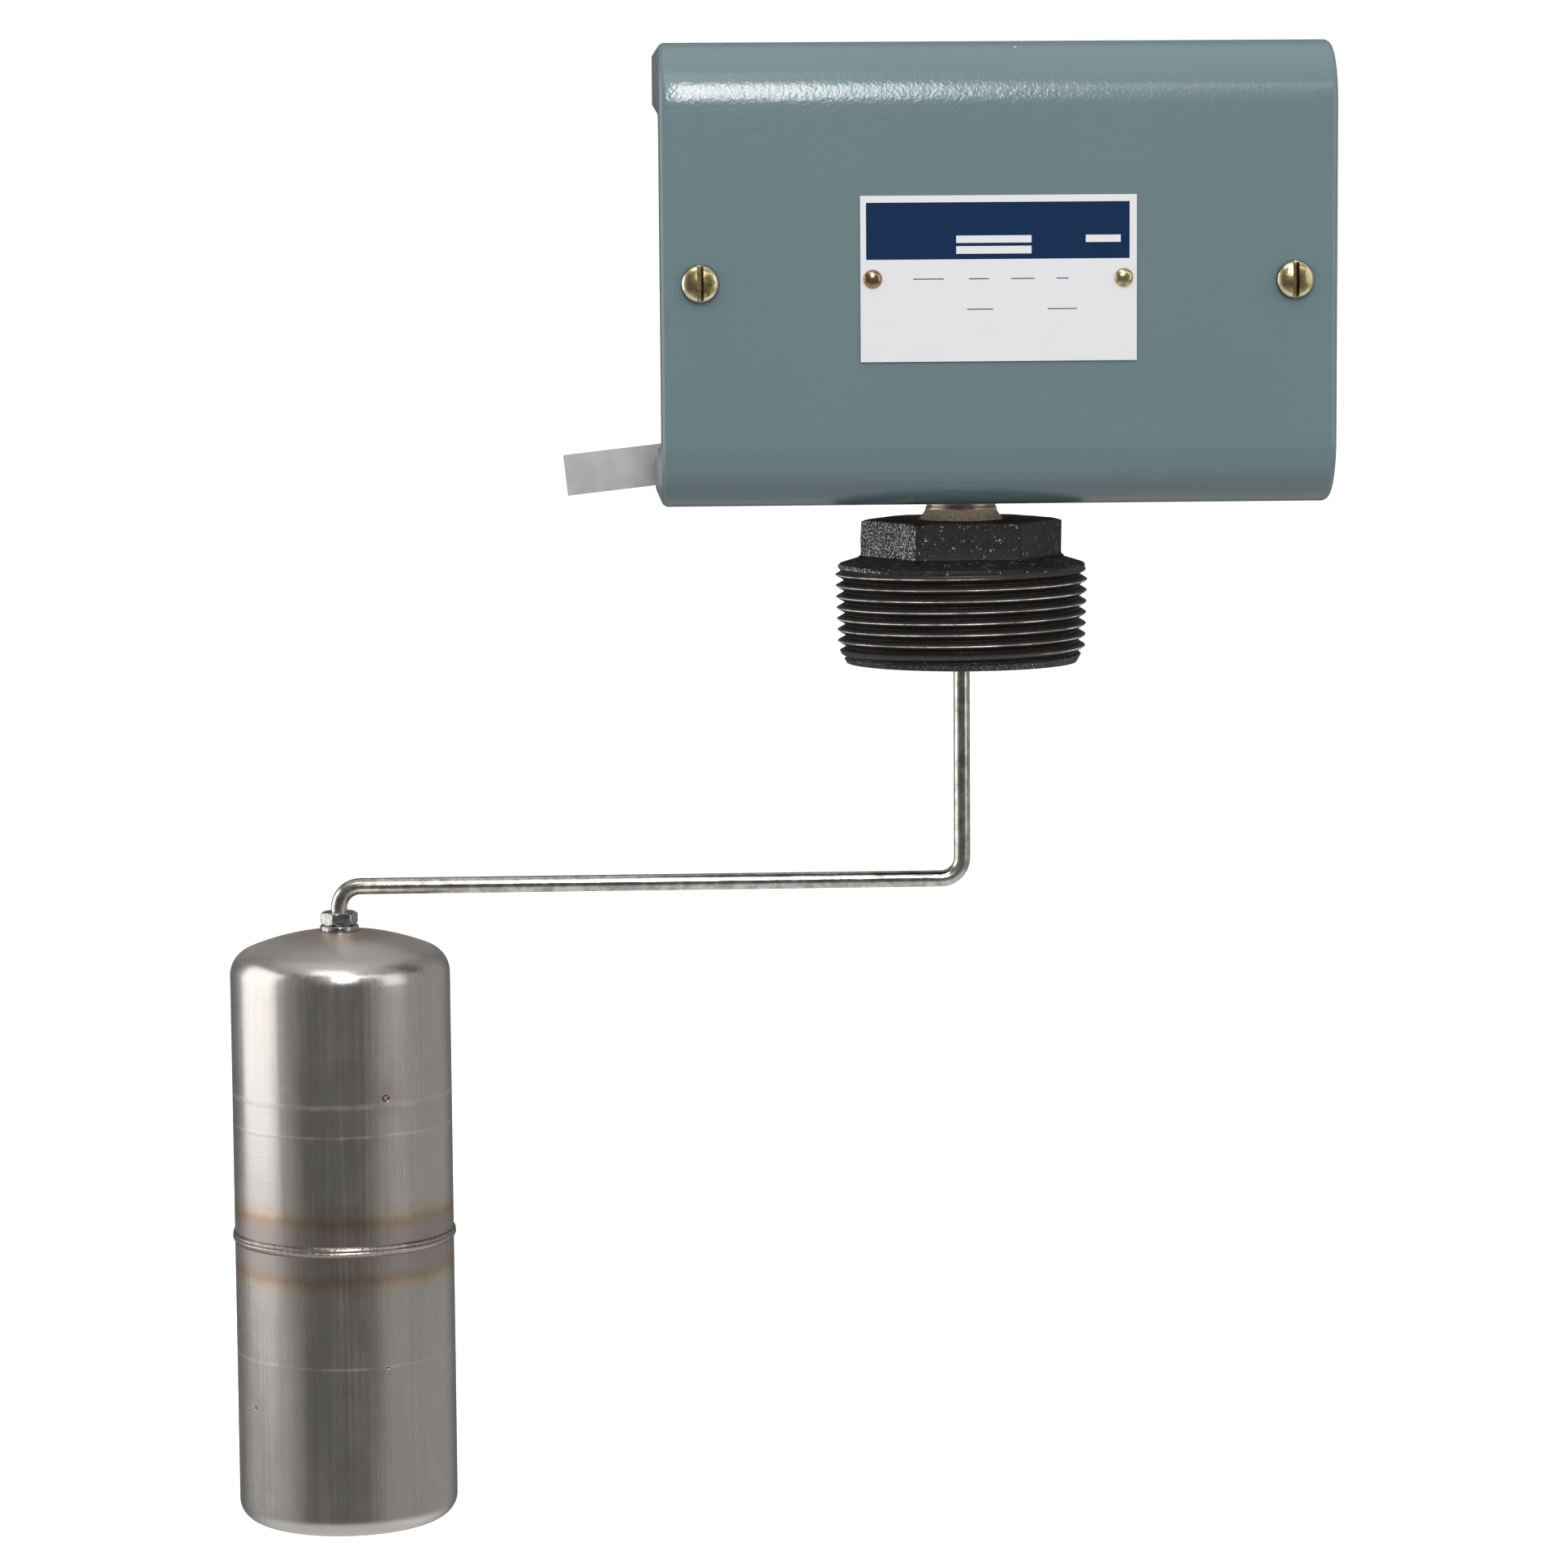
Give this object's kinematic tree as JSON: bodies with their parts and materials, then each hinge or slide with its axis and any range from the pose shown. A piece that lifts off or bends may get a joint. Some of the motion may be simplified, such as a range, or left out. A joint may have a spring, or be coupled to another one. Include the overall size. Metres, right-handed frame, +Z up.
{
  "type": "float level switch",
  "caption": "Tank level switch: a welded cylindrical float on a bent rod under a threaded hexagon bushing that carries a sheet-steel housing with a lever-driven contact mechanism.",
  "frame": {"origin": "centre of the bushing's lower end face, on the tank thread's axis", "axes": "+Z up along the thread's axis, away from the tank; -Y is the housing's front with the nameplate; the float arm reaches towards -X"},
  "size_m": [0.3145, 0.0932, 0.4265],
  "materials": {
    "grey_enamel": "light grey enamel on folded steel",
    "blue_grey_enamel": "satin blue-grey enamel with a fine orange peel",
    "brass_screw": "yellow zinc plated steel",
    "printed_plate": "thin plate, off-white with one dark blue field",
    "brass_rivet": "brass drive pin",
    "zinc_strap": "plain zinc plated strip",
    "green_screw": "green dyed screw",
    "steel_tube": "turned steel tube",
    "braze": "rough brass braze",
    "zinc_plate": "zinc plated sheet",
    "black_iron": "oiled dark iron, machined thread",
    "seal_rubber": "moulded rubber ring",
    "bright_steel": "turned steel",
    "spring_steel": "wound spring wire",
    "moulding": "dark thermoset moulding",
    "brass_contact": "stamped brass strip",
    "polished_rod": "drawn stainless rod",
    "jam_nut_steel": "turned stainless nut",
    "float_boss_steel": "turned stainless boss with a heat tint",
    "stainless_float": "drawn stainless shell, softly streaked",
    "weld_metal": "welded seam with a heat tint",
    "carrier_moulding": "brown thermoset moulding",
    "copper_bridge": "stamped copper strip with silver buttons"
  },
  "bodies": {
    "housing": {"base": "grey_enamel", "end_plate_left": "grey_enamel", "end_plate_right": "grey_enamel", "cover_lugs": "grey_enamel", "cover": "blue_grey_enamel", "cover_screws": "brass_screw", "nameplate": "printed_plate", "nameplate_rivets": "brass_rivet", "side_tab": "zinc_strap", "tab_rivets": "zinc_strap", "ground_screw": "green_screw", "nipple": "steel_tube", "braze_ring": "braze", "nipple_locknut": "zinc_plate", "bushing": "black_iron", "hub_seal": "seal_rubber", "mechanism_plate": "zinc_plate", "stop_screws": "brass_screw", "lever_stud": "bright_steel", "lever_clip": "bright_steel", "spring_post": "bright_steel", "return_spring": "spring_steel", "rocker_stud": "bright_steel", "contact_block_left": "moulding", "contact_block_right": "moulding", "fixed_contacts_left": "brass_contact", "fixed_contacts_right": "brass_contact", "terminal_screws": "brass_screw", "block_screws": "zinc_plate"},
    "float_arm": {"float_rod": "polished_rod", "pivot_hub": "bright_steel", "trunnions": "bright_steel", "stem_head": "bright_steel", "drive_pin": "bright_steel", "jam_nut": "jam_nut_steel", "float_boss": "float_boss_steel", "float_upper_shell": "stainless_float", "float_lower_shell": "stainless_float", "weld_bead": "weld_metal"},
    "tumbler_lever": {"tumbler_lever": "zinc_plate", "drive_stud": "bright_steel"},
    "contact_carrier_left": {"contact_carrier_left": "carrier_moulding", "contact_bridges_left": "copper_bridge"},
    "contact_carrier_right": {"contact_carrier_right": "carrier_moulding", "contact_bridges_right": "copper_bridge"},
    "alternating_rocker": {"alternating_rocker": "zinc_plate"}
  },
  "joints": [
    {"name": "float_arm_swing", "type": "hinge", "parent": "housing", "child": "float_arm", "pos_m": [0, 0, 0.031], "axis": [0, 1, 0], "range_deg": [0, 10]},
    {"name": "lever_swing", "type": "hinge", "parent": "housing", "child": "tumbler_lever", "pos_m": [0, 0, 0.104], "axis": [0, 1, 0], "range_deg": [-17.6, 0]},
    {"name": "carrier_left_slide", "type": "slide", "parent": "housing", "child": "contact_carrier_left", "axis": [1, 0, 0], "range_m": [-0.0073, 0]},
    {"name": "carrier_right_slide", "type": "slide", "parent": "housing", "child": "contact_carrier_right", "axis": [1, 0, 0], "range_m": [-0.0073, 0]},
    {"name": "rocker_flip", "type": "hinge", "parent": "housing", "child": "alternating_rocker", "pos_m": [0, 0, 0.15], "axis": [0, 1, 0], "range_deg": [0, 24.1]}
  ],
  "couplings": [
    {"joint": "lever_swing", "follows": "float_arm_swing", "ratio": -1.75},
    {"joint": "carrier_left_slide", "follows": "float_arm_swing", "m_per_rad": -0.04135},
    {"joint": "carrier_right_slide", "follows": "float_arm_swing", "m_per_rad": -0.04135},
    {"joint": "rocker_flip", "follows": "float_arm_swing", "ratio": 2.4}
  ]
}
